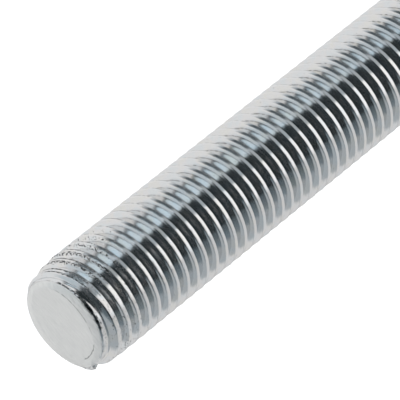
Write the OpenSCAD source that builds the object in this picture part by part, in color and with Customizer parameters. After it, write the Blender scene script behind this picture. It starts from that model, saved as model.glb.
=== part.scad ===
// Fully threaded rod, cut to length, with a rolled metric thread.
// It stands on one end: Z runs along the rod and the lower end face lies on Z = 0.

/* [Rod] */
// Length of the rod from end face to end face
rod_length = 120; // [20:1:150]
// Nominal size of the thread
thread_size = 16; // [8:1:24]
// How far the blunt rolled crests stay under the nominal size, across the rod
crest_undersize = 0.3; // [0.1:0.05:0.5]

/* [Thread] */
// Distance from one crest to the next
pitch = 2; // [1.5:0.25:3]
// Angle between the two sides of a groove
groove_angle = 60; // [55:1:65]
// Gap between the flanks and those of the full-size thread, measured square to the axis
flank_clearance = 0.06; // [0:0.01:0.1]
// Angle round the rod at which a crest passes the lower end face
thread_start = 290; // [0:5:355]

/* [Ends] */
// How far the flat end face stays inside the groove bottoms, along the radius
face_inset = 0.65; // [0.2:0.05:1.5]
// Angle of the chamfer at each end, measured from the axis
chamfer_angle = 45; // [30:5:60]
// Width of the chamfer along the radius
chamfer_width = 0.75; // [0.2:0.05:1.5]
// Length over which the first crests rise to full height behind the chamfer
lead_in_length = 3.4; // [1:0.1:6]

/* [Hidden] */

// flat facets in one turn of each flank
turn_facets = 16;
// share of the sharp groove's height between the pitch line and the nominal size
pitch_line_share = 3 / 8;
// share of the sharp groove's height between the groove bottoms and the nominal size
groove_depth_share = 17 / 24;

half_angle = groove_angle / 2;
sharp_height = pitch / 2 / tan(half_angle);
nominal_r = thread_size / 2;
crest_r = nominal_r - crest_undersize / 2;
root_r = nominal_r - groove_depth_share * sharp_height - flank_clearance;
pitch_line_r = nominal_r - pitch_line_share * sharp_height - flank_clearance;
// where the two flanks of a ridge, and of a groove, would meet in a sharp edge
apex_r = pitch_line_r + sharp_height / 2;
valley_r = pitch_line_r - sharp_height / 2;

face_r = root_r - face_inset;
chamfer_r = face_r + chamfer_width;
chamfer_length = chamfer_width / tan(chamfer_angle);

// whole turns of the helix below the rod, and at least as many above it
spare_turns = 2;
turns = ceil(rod_length / pitch + 2 * spare_turns);
helix_steps = turns * turn_facets;
helix_start_z = -spare_turns * pitch;

// Step i of the helix: angle, then the point at a radius and a height above the start
function step_angle(i) = thread_start + 360 * i / turn_facets;
function helix_point(i, radius, rise) = [
    radius * cos(step_angle(i)),
    radius * sin(step_angle(i)),
    helix_start_z + rise + pitch * i / turn_facets
];

// Points run in pairs up the helix: an apex, then the valley half a pitch above it
function apex(i) = 2 * i;
function valley(i) = 2 * i + 1;

// A solid with one sharp ridge wound round it, longer than the rod at both ends
module sharp_thread() {
    helix = [
        for (i = [0 : helix_steps + turn_facets])
            for (side = [0, 1])
                helix_point(i, side == 0 ? apex_r : valley_r, side * pitch / 2)
    ];
    low_centre = [0, 0, helix_start_z - pitch];
    high_centre = [0, 0, helix_start_z + (turns + 2) * pitch];
    low = len(helix);
    high = low + 1;
    n = turn_facets;
    flanks = [
        for (i = [0 : helix_steps - 1])
            each [
                [apex(i), valley(i), valley(i + 1)],
                [apex(i), valley(i + 1), apex(i + 1)],
                [valley(i), apex(i + n), apex(i + n + 1)],
                [valley(i), apex(i + n + 1), valley(i + 1)]
            ]
    ];
    low_cap = [for (i = [0 : n - 1]) [low, apex(i), apex(i + 1)]];
    high_cap = [
        for (i = [0 : n - 1])
            [high, apex(helix_steps + i + 1), apex(helix_steps + i)]
    ];
    low_step = [low, apex(n), valley(0), apex(0)];
    high_step = [high, apex(helix_steps), valley(helix_steps), apex(helix_steps + n)];
    polyhedron(
        points = concat(helix, [low_centre, high_centre]),
        faces = concat(flanks, low_cap, high_cap, [low_step, high_step]),
        convexity = 10
    );
}

// The round bar at the bottom of the grooves
module core() {
    translate([0, 0, -pitch])
        cylinder(r = root_r, h = rod_length + 2 * pitch, $fn = 96);
}

// Everything stays inside this turned outline: flat faces, chamfers, lead-ins and crests
module outline() {
    lead_end = chamfer_length + lead_in_length;
    rotate_extrude($fn = 96)
        polygon([
            [0, 0],
            [face_r, 0],
            [chamfer_r, chamfer_length],
            [crest_r, lead_end],
            [crest_r, rod_length - lead_end],
            [chamfer_r, rod_length - chamfer_length],
            [face_r, rod_length],
            [0, rod_length]
        ]);
}

module threaded_rod() {
    color("silver")
        intersection() {
            outline();
            union() {
                core();
                sharp_thread();
            }
        }
}

threaded_rod();
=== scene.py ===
# %% [markdown]
# # A threaded rod with a rolled thread
# The rod is one bar of steel. Its thread is not cut: hard dies roll it in, which leaves smooth,
# burnished flanks, rounded groove bottoms and slightly blunt crests. The bar is then zinc plated.
# The CAD model already holds the exact thread with flat facets, so this lesson wraps the same
# thread in a finer skin, with round edges and the small marks of a real cut end.

# %% Load the frame
import math

import bpy
import numpy as np
from mathutils import Matrix, Vector


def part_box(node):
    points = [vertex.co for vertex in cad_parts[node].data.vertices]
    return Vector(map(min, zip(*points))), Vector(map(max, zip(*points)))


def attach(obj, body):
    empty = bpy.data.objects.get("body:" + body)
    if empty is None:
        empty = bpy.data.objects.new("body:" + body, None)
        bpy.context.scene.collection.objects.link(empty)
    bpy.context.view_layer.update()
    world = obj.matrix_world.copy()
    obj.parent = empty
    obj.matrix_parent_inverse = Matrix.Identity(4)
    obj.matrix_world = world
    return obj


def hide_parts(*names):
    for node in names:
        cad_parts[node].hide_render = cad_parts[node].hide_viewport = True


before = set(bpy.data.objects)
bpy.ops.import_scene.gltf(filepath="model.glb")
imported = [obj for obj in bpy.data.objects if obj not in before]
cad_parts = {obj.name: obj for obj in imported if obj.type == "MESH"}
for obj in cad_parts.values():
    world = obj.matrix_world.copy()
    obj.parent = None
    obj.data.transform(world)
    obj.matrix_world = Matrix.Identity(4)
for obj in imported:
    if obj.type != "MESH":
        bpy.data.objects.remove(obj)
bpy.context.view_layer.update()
low, high = (np.array(corner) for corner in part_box("threaded_rod"))
print("CAD box in mm:", (low * 1000).round(3), (high * 1000).round(3))

# %% [markdown]
# ## Sizes
# Everything below is in millimetres until the mesh is made, because thread sizes read best that
# way. The length and the crest radius come from the CAD box, and the pitch is the thread's own.

# %% Name the sizes
MM = 0.001
ROD_LENGTH = float(high[2] - low[2]) / MM
CREST_R = float(high[0]) / MM
PITCH = 2.0
HALF_ANGLE = math.radians(30)
# width of a crest's flat top, how far its middle stands above its edges, and its corners' radius
CREST_FLAT = 0.58
CREST_DOME = 0.004
CREST_EDGE_R = 0.08
# near the upper end the flat reaches further below its middle, and this fades down the rod
WORN_BELOW = 0.10
WORN_ABOVE = -0.02
WORN_FADE = 22.0
# radius at the bottom of the grooves
ROOT_R = 6.77
# angle round the rod, from +X, at which a crest passes the lower end face
THREAD_START = math.radians(-70)
print(f"rod {ROD_LENGTH:.1f} mm long, {2 * CREST_R:.2f} mm over the crests")

# %% [markdown]
# ## Half a groove's section
# A rolled groove has straight flanks, a round bottom and rounded crest corners. A light shows
# every one of these curves, so the section is drawn with true arcs and few points between them.
# Each stretch gets a count of steps, from the crest's middle down to the groove's bottom. Only
# the turns that carry the marks need points on the flat, and close together on the flank.
# Elsewhere such points are spare: the crest's middle stands in for those on the flat, and the
# point before it for each one on the flank.

# %% Count the section's steps
FLAT_STEPS = 5
CREST_ARC_STEPS = 4
FLANK_STEPS = 6
ROOT_ARC_STEPS = 4
FLANK_POINTS = FLAT_STEPS + CREST_ARC_STEPS + 1 + np.arange(FLANK_STEPS - 1)
SPARE_POINTS = list(range(1, FLAT_STEPS)) + FLANK_POINTS[::2].tolist()
STAND_INS = [0] * (FLAT_STEPS - 1) + (FLANK_POINTS[::2] - 1).tolist()
HALF_POINTS = FLAT_STEPS + CREST_ARC_STEPS + FLANK_STEPS + ROOT_ARC_STEPS + 1
print(2 * HALF_POINTS - 2, "points in one pitch,", len(SPARE_POINTS), "spare in each half")

# %% [markdown]
# Plated steel has no truly sharp corner. Where one shape cuts another, a soft minimum rounds the
# edge between them. It works on whole arrays of radii at once, so no mesh has to be cut.

# %% Soften a corner


def soft_positive(x, softness):
    """x where it is positive and 0 where it is negative, with a rounded corner."""
    return softness * np.logaddexp(0, x / softness)


def soft_min(a, b, softness):
    """The smaller of a and b, with a rounded corner."""
    return b - soft_positive(b - a, softness)


print(f"two radii of 1 mm, softened by 0.1 mm, meet at {soft_min(1.0, 1.0, 0.1):.3f} mm")

# %% [markdown]
# Where the dies left a crest low, its flat is wider, because the flanks stay where they are, and
# the corner's points move with it. One call works out the section of every crest, a row for each.

# %% Draw the section from a crest to the groove's bottom
LOWEST_SHARP_CREST = 6.95
CREST_SOFTNESS = 0.015
FLANK_TURN = math.pi / 2 - HALF_ANGLE
CORNER_TANGENT = CREST_EDGE_R * math.tan(FLANK_TURN / 2)


def half_section(formed_r, flat, groove):
    """Points from a crest's middle to the groove's bottom, as heights and radii. Each row is
    one crest: how far out the dies formed it, half its flat, and half the groove's width."""
    flat, groove = flat[:, None], groove[:, None]
    sharp_r = CREST_R - groove / math.tan(HALF_ANGLE)
    root_arc_r = (ROOT_R - sharp_r) * math.sin(HALF_ANGLE) / (1 - math.sin(HALF_ANGLE))
    crest_r = np.maximum(formed_r, LOWEST_SHARP_CREST)[:, None]
    corner = flat + (CREST_R - crest_r) * math.tan(HALF_ANGLE) - CORNER_TANGENT
    edge_turn = np.linspace(0, FLANK_TURN, CREST_ARC_STEPS + 1)
    edge_x = corner + CREST_EDGE_R * np.sin(edge_turn)
    edge_r = crest_r - CREST_EDGE_R * (1 - np.cos(edge_turn))
    root_turn = np.linspace(FLANK_TURN, 0, ROOT_ARC_STEPS + 1)
    root_x = flat + groove - root_arc_r * np.sin(root_turn)
    root_r = ROOT_R + root_arc_r * (1 - np.cos(root_turn))
    down = np.arange(1, FLANK_STEPS) / FLANK_STEPS
    flank_x = edge_x[:, -1:] + (root_x[:, :1] - edge_x[:, -1:]) * down
    flank_r = edge_r[:, -1:] + (root_r[:, :1] - edge_r[:, -1:]) * down
    flat_x = corner * np.arange(FLAT_STEPS) / FLAT_STEPS
    flat_r = crest_r + np.zeros_like(flat_x)
    x = np.concatenate([flat_x, edge_x, flank_x, root_x], 1)
    r = np.concatenate([flat_r, edge_r, flank_r, root_r], 1)
    r = r - CREST_DOME * np.clip(x / corner, 0, 1)
    return x, soft_min(r, formed_r[:, None], CREST_SOFTNESS)


full_sizes = [np.array([size]) for size in (CREST_R, CREST_FLAT / 2, (PITCH - CREST_FLAT) / 2)]
full_x, full_r = half_section(*full_sizes)
print(f"a full section drops {full_r[0, 0] - full_r[0, -1]:.2f} mm over {full_x[0, -1]:.2f} mm")

# %% [markdown]
# ## The outline at an end
# The bar was sawn and its edge knocked off by hand, so the face is a little oval, which makes the
# chamfer wider on two sides, and the chamfer is less deep on one. Behind it lies a plain strip
# that the dies never reached, which tapers away on one side. Then they formed the first crests
# only part way, and near the upper end they set them a little further in than the pitch gives.
# The outline gives the largest radius at each depth below an end face. Past the edge it turns in
# over the face, so that one continuous sheet covers the thread and both ends.

# %% Name the sizes of an end
# the flat face, wider across one way than the other
FACE_R = 5.45
FACE_UNEVEN = 0.40
WIDE_CHAMFER_SIDE = math.radians(265)
# the chamfer, less deep on one side
CHAMFER_R = 6.82
CHAMFER_DEPTH = 0.52
SHALLOW_CHAMFER = 0.32
SHALLOW_SIDE = math.radians(190)
# the plain strip: where it ends, how it tapers and drops on one side, and how fast it opens
STRIP_END = 1.45
STRIP_TAPER = 1.3
STRIP_DROP = 0.22
STRIP_TAPER_SIDE = math.radians(340)
STRIP_OPENING = 1.2
# the low first crests, and how far in they are set
LEAD_IN_END = 6.5
LEAD_IN_DROP = 0.75
LEAD_IN_UNEVEN = 0.6
END_SHIFT = 0.2
END_SHIFT_FADE = 10.0
# how round the corners are, how far down a burr reaches, and how fast the sheet closes the face
EDGE_SOFTNESS = 0.04
CHAMFER_SOFTNESS = 0.04
STRIP_SOFTNESS = 0.05
BURR_LENGTH = 0.45
FACE_SPREAD = 1.2
print(f"face {2 * FACE_R:.1f} mm across, plain strip from {CHAMFER_DEPTH} to {STRIP_END} mm below it")

# %% Define the end outline


def end_outline(depth, face_r, burr, strip_r, strip_end, chamfer_depth):
    """Depth below the face, and the radius there, for a distance along the sheet."""
    below = soft_positive(depth, EDGE_SOFTNESS)
    beyond = soft_positive(-depth, EDGE_SOFTNESS)
    chamfer = face_r + below * (strip_r - face_r) / chamfer_depth
    strip = strip_r + STRIP_OPENING * soft_positive(below - strip_end, STRIP_SOFTNESS)
    radius = soft_min(chamfer, strip, CHAMFER_SOFTNESS) + burr * np.exp(-((below / BURR_LENGTH) ** 2))
    radius = radius - beyond - FACE_SPREAD * beyond**2
    return below, np.maximum(radius, 0)


def crest_limit(crest_depth, angle):
    """How far out the dies formed a crest whose middle is at this depth."""
    missing = np.clip(1 - crest_depth / LEAD_IN_END, 0, 1) ** 2
    return CREST_R - LEAD_IN_DROP * (1 + LEAD_IN_UNEVEN * np.cos(angle)) * missing


def end_shift(depth):
    """How much further from the upper end a point lies than the pitch gives."""
    return END_SHIFT * np.exp(-np.maximum(depth, 0) / END_SHIFT_FADE)


print(f"a crest 2 mm below an end is formed to {crest_limit(2.0, 0.0):.2f} mm on its lowest side")

# %% [markdown]
# ## The wound sheet
# A helix has no seam, so the sheet is wound like a ribbon: each column of points is one section,
# and the next column is turned a little and raised a little. One turn later the ribbon meets
# its own edge. The turns near the upper end are four times finer, because that end carries
# the marks. Where coarse columns meet fine ones, one face takes all the extra points.

# %% Wind the columns
# columns in a turn, how many times more there are near the upper end, and over how many turns
COARSE = 40
FINER = 4
FINE_TURNS = 2.4
# turns that close an end face, and more of them to be sure that its middle is reached
FACE_TURNS = 1.0
OVERRUN_TURNS = 1.2


def column_angles():
    """The winding angle of each column, coarse first and fine near the upper end."""
    turns = ROD_LENGTH / PITCH
    first = math.floor(-(FACE_TURNS + OVERRUN_TURNS) * COARSE)
    split = round((turns - FINE_TURNS) * COARSE)
    last = math.ceil((turns + FACE_TURNS + OVERRUN_TURNS) * COARSE)
    coarse = np.arange(first, split) / COARSE
    fine = split / COARSE + np.arange((last - split) * FINER + 1) / (COARSE * FINER)
    return 2 * math.pi * np.concatenate([coarse, fine]), split - first


angles, split_column = column_angles()
print(split_column, "coarse columns, then", len(angles) - split_column, "fine ones")

# %% [markdown]
# A column runs from its own crest up to the next, and its two halves are drawn apart. Near an end
# the two crests differ: one is lower, or its flat reaches further, and each half follows its own.

# %% Give each column its section
crest_height = PITCH * angles / (2 * math.pi)
crest_angle = angles + THREAD_START
next_height = crest_height + PITCH


def formed_radius(height, angle):
    """The radius of the crest at a height and an angle, lower towards both ends."""
    limits = crest_limit(ROD_LENGTH - height, angle), crest_limit(height, angle)
    return np.minimum(CREST_R, np.minimum(*limits))


def worn(height):
    """1 at the upper end, and less down the rod."""
    return np.exp(-(((ROD_LENGTH - height) / WORN_FADE) ** 2))


upper_flat = CREST_FLAT / 2 + WORN_ABOVE * worn(crest_height)
lower_flat = CREST_FLAT / 2 + WORN_BELOW * worn(next_height)
groove = (PITCH - upper_flat - lower_flat) / 2
own_x, own_r = half_section(formed_radius(crest_height, crest_angle), upper_flat, groove)
next_x, next_r = half_section(formed_radius(next_height, crest_angle), lower_flat, groove)
section_x = np.concatenate([own_x, PITCH - next_x[:, -2:0:-1]], 1)
thread_r = np.concatenate([own_r, next_r[:, -2:0:-1]], 1)
along = section_x + crest_height[:, None]
along = along - end_shift(ROD_LENGTH - along)
direction = crest_angle[:, None] + np.zeros_like(along)
midway = thread_r[len(angles) // 2]
print(f"midway, grooves {midway.min():.2f} mm and crests {midway.max():.2f} mm from the axis")

# %% [markdown]
# The saw left a burr: a tongue of metal pushed out over the edge on one side of the upper end.
# It is a smooth bump in the outline with a ragged edge, made from a few sines so that it is the
# same in every run. The same uneven line makes the edges of the face and the chamfer less true.

# %% Push out the burr and join the outlines
BURR_SIDE = math.radians(168)
BURR_HALF_WIDTH = math.radians(13)
BURR_REACH = 0.85
# how ragged the burr is, as a share of its reach, and the face and the chamfer, in mm
BURR_RAGGED = 0.35
FACE_RAGGED = 0.05
CHAMFER_RAGGED = 0.04
JOIN_SOFTNESS = 0.02


def ragged(angle):
    """An uneven line round the rod, between about -1 and 1."""
    waves = ((9, 0.4, 0.5), (23, 2.0, 0.3), (41, 4.1, 0.25), (67, 1.3, 0.2))
    return sum(size * np.sin(count * angle + start) for count, start, size in waves)


from_burr = np.angle(np.exp(1j * (direction - BURR_SIDE)))
burr = BURR_REACH * np.exp(-((from_burr / BURR_HALF_WIDTH) ** 2)) * (1 + BURR_RAGGED * ragged(direction))
oval = FACE_UNEVEN * np.cos(2 * (direction - WIDE_CHAMFER_SIDE))
face_r = FACE_R - oval + FACE_RAGGED * ragged(direction)
tapered = np.clip(np.cos(direction - STRIP_TAPER_SIDE), 0, 1) ** 1.5
strip_end = STRIP_END - STRIP_TAPER * tapered
strip_r = CHAMFER_R - STRIP_DROP * tapered
chamfer_depth = CHAMFER_DEPTH - SHALLOW_CHAMFER * np.clip(np.cos(direction - SHALLOW_SIDE), 0, 1) ** 2
upper_edge = burr + CHAMFER_RAGGED * ragged(direction + 1)
upper = end_outline(ROD_LENGTH - along, face_r, upper_edge, strip_r, strip_end, chamfer_depth)
upper_depth, upper_r = upper
lower_depth, lower_r = end_outline(along, FACE_R, 0.0, CHAMFER_R, STRIP_END, CHAMFER_DEPTH)
radius = soft_min(soft_min(thread_r, upper_r, JOIN_SOFTNESS), lower_r, JOIN_SOFTNESS)
radius = np.where((upper_r <= 0) | (lower_r <= 0), 0, radius)
height = np.where(along > ROD_LENGTH / 2, ROD_LENGTH - upper_depth, lower_depth)
print(f"{len(angles)} columns, {radius.size} points")

# %% [markdown]
# ## One closed mesh
# Every point gets a number, and two points that share a number are one. In the coarse turns a
# spare point takes the number of its stand-in, so its faces shrink to nothing and drop out,
# which keeps the mesh light. Past the middle of an end all points are one point on the axis. A
# few faces there have no area, and stay because they close the mesh.

# %% Number the points
points = np.stack([radius * np.cos(direction), radius * np.sin(direction), height], -1)
index = np.arange(radius.size).reshape(radius.shape)
ribbon_points = index.shape[1]
for spare, stand_in in zip(SPARE_POINTS, STAND_INS):
    index[:split_column, spare] = index[:split_column, stand_in]
    mirror, mirror_stand_in = ribbon_points - spare, (ribbon_points - stand_in) % ribbon_points
    if mirror_stand_in:
        index[:split_column, mirror] = index[:split_column, mirror_stand_in]
    else:
        index[:split_column, mirror] = index[:split_column, ribbon_points - FLAT_STEPS]
index[(radius == 0) & (along > ROD_LENGTH / 2)] = radius.size
index[(radius == 0) & (along < ROD_LENGTH / 2)] = radius.size + 1
points = np.concatenate([points.reshape(-1, 3), [[0, 0, ROD_LENGTH], [0, 0, 0]]])
print(len(np.unique(index)), "points left of", radius.size)

# %% [markdown]
# Most faces lie inside the ribbon, between a column and the next. The rest join the ribbon's
# upper edge to the lower edge of its next turn. A face keeps each of its corners once.

# %% Join the columns


def column_above(c):
    """The column one turn further up the helix."""
    if c + COARSE < split_column:
        return c + COARSE
    if c < split_column:
        return split_column + (c + COARSE - split_column) * FINER
    return c + COARSE * FINER


def ribbon_faces():
    """Faces inside the ribbon, then those that join it to its own next turn."""
    a, b = index[:-1], index[1:]
    quads = np.stack([a[:, :-1], b[:, :-1], b[:, 1:], a[:, 1:]], -1).reshape(-1, 4)
    faces = quads.tolist()
    for c in range(len(angles) - 1):
        above, above_next = column_above(c), column_above(c + 1)
        if above_next < len(angles):
            upper = index[above : above_next + 1, 0][::-1].tolist()
            faces.append([index[c, -1], index[c + 1, -1]] + upper)
    return faces


def clean(face):
    """The face without repeated neighbours, or nothing if it has shrunk to a line."""
    kept = [int(v) for k, v in enumerate(face) if v != face[k - 1]]
    return kept if len(set(kept)) > 2 else None


faces = [f for f in map(clean, ribbon_faces()) if f]
print(len(faces), "faces")

# %% Make the skin and let it stand for the CAD node
used = np.unique(np.concatenate([np.array(f) for f in faces]))
renumber = np.full(len(points), -1)
renumber[used] = np.arange(len(used))
mesh = bpy.data.meshes.new("threaded_rod_skin")
mesh.from_pydata((points[used] * MM).tolist(), [], [renumber[f].tolist() for f in faces])
mesh.validate()
mesh.shade_smooth()
rod = bpy.data.objects.new("threaded_rod_skin", mesh)
bpy.context.scene.collection.objects.link(rod)
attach(rod, "root")
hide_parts("threaded_rod")
triangles = sum(len(p.vertices) - 2 for p in mesh.polygons)
print(f"{len(mesh.vertices)} points, {triangles} triangles")

# %% [markdown]
# ## Working with nodes
# A material is a small network of nodes, and adding them one by one takes many lines. These
# helpers add a node and link it in one call, so that a mask reads like a sum on paper.

# %% Node helpers


def new_node(tree, kind, inputs=(), **settings):
    """Adds a node, sets its options, and fills or links its inputs by position or name."""
    node = tree.nodes.new(kind)
    for name, value in settings.items():
        setattr(node, name, value)
    for key, value in dict(inputs).items():
        if isinstance(value, bpy.types.NodeSocket):
            tree.links.new(value, node.inputs[key])
        else:
            node.inputs[key].default_value = value
    return node


def math_node(tree, operation, *values):
    """The result of one sum on numbers or sockets."""
    return new_node(tree, "ShaderNodeMath", enumerate(values), operation=operation).outputs[0]


def ramp_between(tree, value, start, end):
    """0 before start and 1 after end, with a smooth step between; end may be below start."""
    return new_node(
        tree,
        "ShaderNodeMapRange",
        {0: value, 1: start, 2: end, 3: 0.0, 4: 1.0},
        interpolation_type="SMOOTHSTEP",
    ).outputs[0]


def mixed(tree, share, first, second):
    """A colour between two, each a colour or a socket."""
    node = new_node(tree, "ShaderNodeMix", data_type="RGBA")
    for key, value in ((0, share), (6, first), (7, second)):
        if isinstance(value, bpy.types.NodeSocket):
            tree.links.new(value, node.inputs[key])
        else:
            node.inputs[key].default_value = value
    return node.outputs[2]


print("helpers for nodes, sums, ramps and mixed colours")

# %% [markdown]
# ## Bright zinc
# Zinc plating is thin, and keeps every mark of the dies: fine streaks that run along the thread,
# a slight unevenness that bends the reflections, pits along the crests where the steel tore, and
# faint cool and warm tints from the passivation. All of it is placed by the thread itself:
# each point knows its turn, how far it is from its crest, and how deep it lies below the end.

# %% Find each point's place on the thread
zinc = bpy.data.materials.new("bright_zinc")
zinc.use_nodes = True
paint = zinc.node_tree
shader = paint.nodes["Principled BSDF"]


def at(operation, *values):
    """A math node in the zinc material."""
    return math_node(paint, operation, *values)


place_m = new_node(paint, "ShaderNodeTexCoord").outputs["Object"]
in_mm = {0: place_m, 1: (1 / MM, 1 / MM, 1 / MM)}
place_mm = new_node(paint, "ShaderNodeVectorMath", in_mm, operation="MULTIPLY").outputs[0]
x_mm, y_mm, z_mm = new_node(paint, "ShaderNodeSeparateXYZ", {0: place_mm}).outputs
radius_mm = at("SQRT", at("ADD", at("MULTIPLY", x_mm, x_mm), at("MULTIPLY", y_mm, y_mm)))
depth_mm = at("SUBTRACT", ROD_LENGTH, z_mm)
# turns from the front, so that the seam of the angle lies at the back
front_turns = at("DIVIDE", at("ARCTAN2", x_mm, at("MULTIPLY", y_mm, -1.0)), 2 * math.pi)
START_TURNS = THREAD_START / (2 * math.pi) + 0.25
shift_mm = at("MULTIPLY", at("EXPONENT", at("DIVIDE", depth_mm, -END_SHIFT_FADE)), END_SHIFT)
pitches = at("DIVIDE", at("ADD", z_mm, shift_mm), PITCH)
thread_turns = at("SUBTRACT", pitches, at("SUBTRACT", front_turns, START_TURNS))
# 0 on a crest, more towards the upper end, and a half either way in the groove's bottom
off_crest = at("WRAP", thread_turns, 0.5, -0.5)
round_mm = at("MULTIPLY", front_turns, 2 * math.pi * CREST_R)
wound = {0: round_mm, 1: at("MULTIPLY", thread_turns, PITCH), 2: radius_mm}
along_thread = new_node(paint, "ShaderNodeCombineXYZ", wound).outputs[0]
print(len(paint.nodes), "nodes say where a point lies")

# %% [markdown]
# ## The marks
# A mark is a mask between 0 and 1: a noise pattern cut at a level, times where such a mark can
# be. Sides of the rod are given in turns from the front, more towards +X, and depths in mm
# below the upper face.

# %% Mask helpers


def noise(where, scale, detail=2.0, roughness=0.5, stretch=None):
    """Smooth random values; stretch squeezes the pattern along each axis first."""
    if stretch:
        squeeze = new_node(paint, "ShaderNodeVectorMath", {0: where, 1: stretch}, operation="MULTIPLY")
        where = squeeze.outputs[0]
    inputs = {"Vector": where, "Scale": scale, "Detail": detail, "Roughness": roughness}
    return new_node(paint, "ShaderNodeTexNoise", inputs).outputs["Fac"]


def step(value, start, end):
    """A smooth step in the zinc material."""
    return ramp_between(paint, value, start, end)


def near(value, middle, gone, full):
    """1 where the value is nearer the middle than full, and 0 where it is further than gone."""
    return step(at("ABSOLUTE", at("SUBTRACT", value, middle)), gone, full)


def product(first, *others):
    """All of these masks at once."""
    for other in others:
        first = at("MULTIPLY", first, other)
    return first


print("helpers for noise and masks")

# %% [markdown]
# Pits follow the edges of the crests, where rolling tears the steel, and thin out away from the
# cut end. Specks are smaller dull spots. Streaks are noise stretched along the thread, the way
# the dies slid. The upper face and its chamfer are ground dull, and only lightly plated. The lower
# end keeps the thread's bright zinc, with at most a few pits.

# %% Pit and streak the thread
# the side where the dies tore the crests, from the front round to +X
TORN_SIDE = 0.13
crest_distance = at("ABSOLUTE", off_crest)
near_end = step(depth_mm, 16.0, 3.0)
crest_edge = product(step(crest_distance, 0.05, 0.12), step(crest_distance, 0.30, 0.20))
torn_side = near(front_turns, TORN_SIDE, 0.14, 0.07)
cut_end = product(step(depth_mm, 0.47, 0.43), step(radius_mm, 6.75, 6.6))
pit_pattern = noise(place_mm, 3.0, 3.0, 0.65, (1, 1, 2.2))
edge_reach = at("ADD", 0.07, at("MULTIPLY", torn_side, 0.12))
pit_reach = at("ADD", 0.03, at("MULTIPLY", crest_edge, edge_reach))
pit_level = at("SUBTRACT", 0.70, at("MULTIPLY", near_end, pit_reach))
pits = product(step(at("SUBTRACT", pit_pattern, pit_level), 0.0, 0.025), step(cut_end, 0.6, 0.0))
specks = product(step(noise(place_mm, 4.5, 2.0, 0.5), 0.72, 0.75), near_end)
streaks = noise(along_thread, 3.0, 3.0, 0.6, (0.12, 1.4, 0.6))
unevenness = noise(place_mm, 1.1, 2.0, 0.5)
print(len(paint.nodes), "nodes with the pits and streaks")

# %% [markdown]
# The upper face has its own damage: a broken dark line along its uneven edge, a short crack inside
# it, a row of nicks where the chamfer meets the plain strip, and fine marks left by the saw.

# %% Mark the upper face
EDGE_LINE_SIDE = 0.02
CRACK_SIDE = -0.22
CRACK_R = 5.15
CRACK_WANDER = 0.6
NICK_SIDE = -0.035
NICK_DEPTH = 0.50
broken = noise(place_mm, 1.7, 3.0, 0.7)
on_face = step(depth_mm, 0.2, 0.1)
turn_angle = at("MULTIPLY", front_turns, 4 * math.pi)
edge_wave = at("COSINE", at("SUBTRACT", turn_angle, 2 * (WIDE_CHAMFER_SIDE + math.pi / 2)))
face_edge_mm = at("SUBTRACT", FACE_R, at("MULTIPLY", edge_wave, FACE_UNEVEN))
edge_line = product(near(radius_mm, face_edge_mm, 0.10, 0.03), step(broken, 0.42, 0.55), on_face)
edge_line = product(edge_line, near(front_turns, EDGE_LINE_SIDE, 0.16, 0.06))
crack_mm = at("ADD", CRACK_R, at("MULTIPLY", broken, CRACK_WANDER))
crack = product(near(radius_mm, crack_mm, 0.10, 0.04), on_face, near(front_turns, CRACK_SIDE, 0.07, 0.05))
nick_row = product(near(depth_mm, NICK_DEPTH, 0.17, 0.09), step(broken, 0.47, 0.52))
nick_row = product(nick_row, near(front_turns, NICK_SIDE, 0.07, 0.04))
saw_marks = noise(place_mm, 2.2, 3.0, 0.6, (0.25, 2.5, 1))
print(len(paint.nodes), "nodes with the marks of the face")

# %% [markdown]
# Metal is torn along the burr. Below each crest, on one side, a broken dark line is painted shade in the
# groove, with some dirt.

# %% Tear the burr and paint shade and dirt in the grooves
TORN_BURR_SIDE = -0.285
GROOVE_SHADE_SIDE = 0.20
BELOW_CREST = -0.165
torn_burr = product(step(radius_mm, 6.55, 6.75), step(depth_mm, 0.9, 0.6))
torn_burr = product(torn_burr, near(front_turns, TORN_BURR_SIDE, 0.055, 0.03))
torn_burr = product(torn_burr, step(noise(place_mm, 2.6, 3.0, 0.7), 0.50, 0.56))
# a broken dark line in the groove below each crest: painted shade, with some dirt
groove_shade_and_dirt = product(near(off_crest, BELOW_CREST, 0.07, 0.035), step(broken, 0.42, 0.50))
groove_shade_and_dirt = product(groove_shade_and_dirt, near(front_turns, GROOVE_SHADE_SIDE, 0.09, 0.05), step(depth_mm, 1.0, 1.6))
print(len(paint.nodes), "nodes with the torn burr and the dirt")

# %% [markdown]
# ## The finish
# The zinc's own colour drifts between a cool and a warm grey. Pits and marks darken it, and the
# upper face is paler. Metal shows its colour in what it mirrors, so roughness matters as much:
# streaks blur the reflections a little, the ground face blurs them more, and pits and specks most.

# %% Shade the zinc
COOL, PLAIN, WARM = (0.81, 0.835, 0.85, 1), (0.835, 0.835, 0.84, 1), (0.845, 0.84, 0.82, 1)
CUT_PALE, CUT_GREY = (0.90, 0.91, 0.90, 1), (0.84, 0.85, 0.845, 1)
PIT_GREY = (0.07, 0.08, 0.08, 1)
MARK_GREY = (0.08, 0.09, 0.09, 1)
tints = new_node(paint, "ShaderNodeValToRGB", {0: noise(place_mm, 0.55, 2.0)})
stops = tints.color_ramp.elements
stops[0].position, stops[0].color = 0.36, COOL
stops[1].position, stops[1].color = 0.64, WARM
stops.new(0.5).color = PLAIN
colour = mixed(paint, pits, tints.outputs[0], PIT_GREY)
colour = mixed(paint, cut_end, colour, mixed(paint, step(saw_marks, 0.40, 0.62), CUT_PALE, CUT_GREY))
dark_marks = at("MAXIMUM", nick_row, at("MULTIPLY", at("MAXIMUM", edge_line, crack), 0.6))
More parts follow.
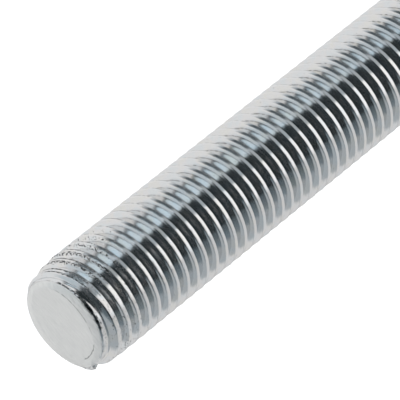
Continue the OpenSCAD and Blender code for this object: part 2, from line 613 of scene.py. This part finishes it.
# the dark line in the grooves is painted shade with some dirt, darkened like the torn burr
dark_marks = at("MAXIMUM", dark_marks, at("MULTIPLY", at("MAXIMUM", groove_shade_and_dirt, torn_burr), 0.7))
colour = mixed(paint, dark_marks, colour, MARK_GREY)
paint.links.new(colour, shader.inputs["Base Color"])
polish = at("ADD", 0.07, at("MULTIPLY", streaks, 0.12))
polish = at("ADD", polish, at("MULTIPLY", at("MAXIMUM", pits, specks), 0.35))
paint.links.new(at("MAXIMUM", polish, at("MULTIPLY", cut_end, 0.32)), shader.inputs["Roughness"])
shader.inputs["Metallic"].default_value = 1.0
print(len(paint.nodes), "nodes with the colour and the polish")

# %% [markdown]
# The finest marks are too shallow to model. Their heights, in mm, are added up, and one bump node
# turns them into slopes. The saw's marks are the deepest, and show only on the upper face and its
# chamfer.

# %% Raise the relief
relief = at("MULTIPLY", streaks, 0.004)
relief = at("ADD", relief, at("MULTIPLY", unevenness, 0.009))
relief = at("SUBTRACT", relief, at("MULTIPLY", pits, 0.02))
relief = at("ADD", relief, at("MULTIPLY", at("MULTIPLY", saw_marks, cut_end), 0.09))
bump = new_node(paint, "ShaderNodeBump", {"Strength": 1.0, "Distance": MM, "Height": relief})
paint.links.new(bump.outputs[0], shader.inputs["Normal"])
mesh.materials.append(zinc)
print(len(paint.nodes), "nodes in the zinc")

# %% [markdown]
# ## The light tent
# Bright zinc is a mirror, so most of its look is the room round it. A studio puts such a
# part in a tent of white cloth and stands dark and grey cards in it. The tent here is the world
# itself: each card is a soft-edged rectangle, placed by its bearing, in degrees from the front,
# and its tilt, in degrees above the horizon. It gives clean reflections with no lamp to place.

# %% Point a way into the tent
world = bpy.data.worlds.new("light_tent")
world.use_nodes = True
bpy.context.scene.world = world
tent = world.node_tree
way = new_node(tent, "ShaderNodeTexCoord").outputs["Generated"]
across, depth_way, upward = new_node(tent, "ShaderNodeSeparateXYZ", {0: way}).outputs
front = math_node(tent, "MULTIPLY", depth_way, -1.0)
bearing = math_node(tent, "DEGREES", math_node(tent, "ARCTAN2", across, front))
tilt = math_node(tent, "DEGREES", math_node(tent, "ARCSINE", upward))


def grey(level, blue=0.0):
    """A light grey level, as the tent's linear brightness, with a little blue."""
    return (level * (1 - blue), level, level * (1 + 0.6 * blue), 1)


def card(under, colour, *limits):
    """Stands a card in front of what is there. Each limit is an axis, where the card begins
    to show, and where it shows in full."""
    share = 1.0
    for axis, begins, full in limits:
        share = math_node(tent, "MULTIPLY", share, ramp_between(tent, axis, begins, full))
    return mixed(tent, share, under, colour)


print(len(tent.nodes), "nodes find a bearing and a tilt")

# %% [markdown]
# The cards decide where the thread looks black, blue or white. A flank at the front mirrors the
# camera's side twice, so a black card there turns it near-black with crisp ends. The crests
# mirror what lies well below the horizon, so a white card on the floor makes them shine.

# %% Stand the cards in the tent
PALE = grey(0.80)
# the tilt where the walls meet the tent's floor
FOOT = (tilt, -32, -30)

# left: a blue-grey wall that brightens towards the back, and a duller cloth behind it
sky = card(PALE, grey(0.71), (bearing, 0, -60))
near_wall = mixed(tent, ramp_between(tent, bearing, -50, -85), grey(0.13, 0.2), grey(0.26, 0.16))
wall = mixed(tent, ramp_between(tent, bearing, -81, -90), near_wall, grey(0.43, 0.07))
sky = card(sky, wall, (bearing, -128, -123), (bearing, -18, -22))
sky = card(sky, wall, (bearing, -165, -150), (bearing, -18, -22), (tilt, 27, 31))
# right: a dark screen with a light-blue strip in front of its foot
sky = card(sky, grey(0.11, 0.15), (bearing, 30, 36), (bearing, 79, 70), (tilt, 16, 10))
sky = card(sky, grey(0.90, 0.14), (bearing, 32, 36), (bearing, 72, 66), (tilt, -9, -14))
# overhead: a grey margin on the right of the black card
margin = mixed(tent, ramp_between(tent, across, 0.48, 0.62), grey(0.57, 0.1), PALE)
sky = card(sky, margin, (across, 0.20, 0.24), (tilt, 45, 50))
# the black card in front and overhead
sky = card(sky, grey(0.03, 0.2), (bearing, -52, -48), (bearing, 36, 32), (tilt, 60, 55))
overhead = ((across, -0.35, -0.32), (across, 0.24, 0.21), (depth_way, 0.06, 0.02), (tilt, 50, 55))
sky = card(sky, grey(0.045, 0.2), *overhead)
# below: a grey floor, a white card at the front and dark ones to its right
ground = card(PALE, grey(0.68), (bearing, -20, -50))
ground = card(ground, grey(0.52), (bearing, -130, -160))
ground = card(ground, grey(0.44, 0.08), (bearing, 3, 10), (bearing, 98, 88))
ground = card(ground, grey(0.11, 0.15), (bearing, 38, 50), (bearing, 87, 80))
ground = card(ground, grey(1.05), (bearing, -54, -36), (bearing, 9, 3))
sky = mixed(tent, ramp_between(tent, *FOOT), ground, sky)
background = tent.nodes["Background"]
tent.links.new(sky, background.inputs["Color"])
background.inputs["Strength"].default_value = 1.0
print(len(tent.nodes), "nodes in the light tent")

# %% [markdown]
# ## Floor and backdrop
# The rod stands on a plain white floor, with a plain white dome behind it for low views. Both
# glow a little, as lit cloth does, which keeps the ground even. They are only something to look
# at: the zinc mirrors the tent and not them, so that the cards alone decide its look.

# %% Lay the floor and raise the backdrop
FLOOR_SIZE = 6.0
DOME_R = 0.48 * FLOOR_SIZE
bpy.ops.mesh.primitive_plane_add(size=FLOOR_SIZE, location=(0, 0, float(low[2])))
floor = bpy.context.object
floor.name = "studio_floor"
floor_paint = bpy.data.materials.new("white_floor")
floor_paint.use_nodes = True
floor_shader = floor_paint.node_tree.nodes["Principled BSDF"]
floor_shader.inputs["Base Color"].default_value = (0.9, 0.9, 0.9, 1)
floor_shader.inputs["Roughness"].default_value = 0.9
floor_shader.inputs["Emission Color"].default_value = (1, 1, 1, 1)
floor_shader.inputs["Emission Strength"].default_value = 0.8
floor.data.materials.append(floor_paint)
floor.visible_glossy = False

bpy.ops.mesh.primitive_uv_sphere_add(radius=DOME_R, segments=48, ring_count=24)
dome = bpy.context.object
dome.name = "studio_dome"
dome.data.materials.append(floor_paint)
dome.visible_glossy = False
dome.visible_diffuse = False
dome.visible_shadow = False
print("floor", FLOOR_SIZE, "m wide, under a dome of the same material")

# %% [markdown]
# ## The camera
# A long lens looks down on the rod's upper end, from well outside the tent. The view is tipped
# over, so that the rod runs from corner to corner of the frame. Everything is set in the rod's
# own terms: the angle from its axis, the distance, and where its end lies off the lens's axis.

# %% Set the camera
LENS = 357.75
SENSOR = 36.0
VIEW_ANGLE = math.radians(55)
ROLL = math.radians(38.57)
DISTANCE = 521.2
END_LEFT = 18.03
END_BELOW = 16.35

sin_v, cos_v = math.sin(VIEW_ANGLE), math.cos(VIEW_ANGLE)
forward = Vector((0, sin_v, -cos_v))
right = Vector((-math.sin(ROLL), -cos_v * math.cos(ROLL), -sin_v * math.cos(ROLL)))
up_way = right.cross(forward)
target = Vector((0, 0, ROD_LENGTH))
place = (target - DISTANCE * forward + END_LEFT * right + END_BELOW * up_way) * MM
camera_data = bpy.data.cameras.new("camera")
camera_data.sensor_width = SENSOR
camera_data.lens = LENS
camera_data.clip_start = 0.01
camera = bpy.data.objects.new("camera", camera_data)
axes = Matrix((right, up_way, -forward)).transposed().to_4x4()
camera.matrix_world = Matrix.Translation(place) @ axes
bpy.context.scene.collection.objects.link(camera)
bpy.context.scene.camera = camera
bpy.context.scene.view_settings.view_transform = "Standard"
print(f"upper face {DISTANCE:.0f} mm down a view {math.degrees(VIEW_ANGLE):.0f} degrees off the rod's axis")
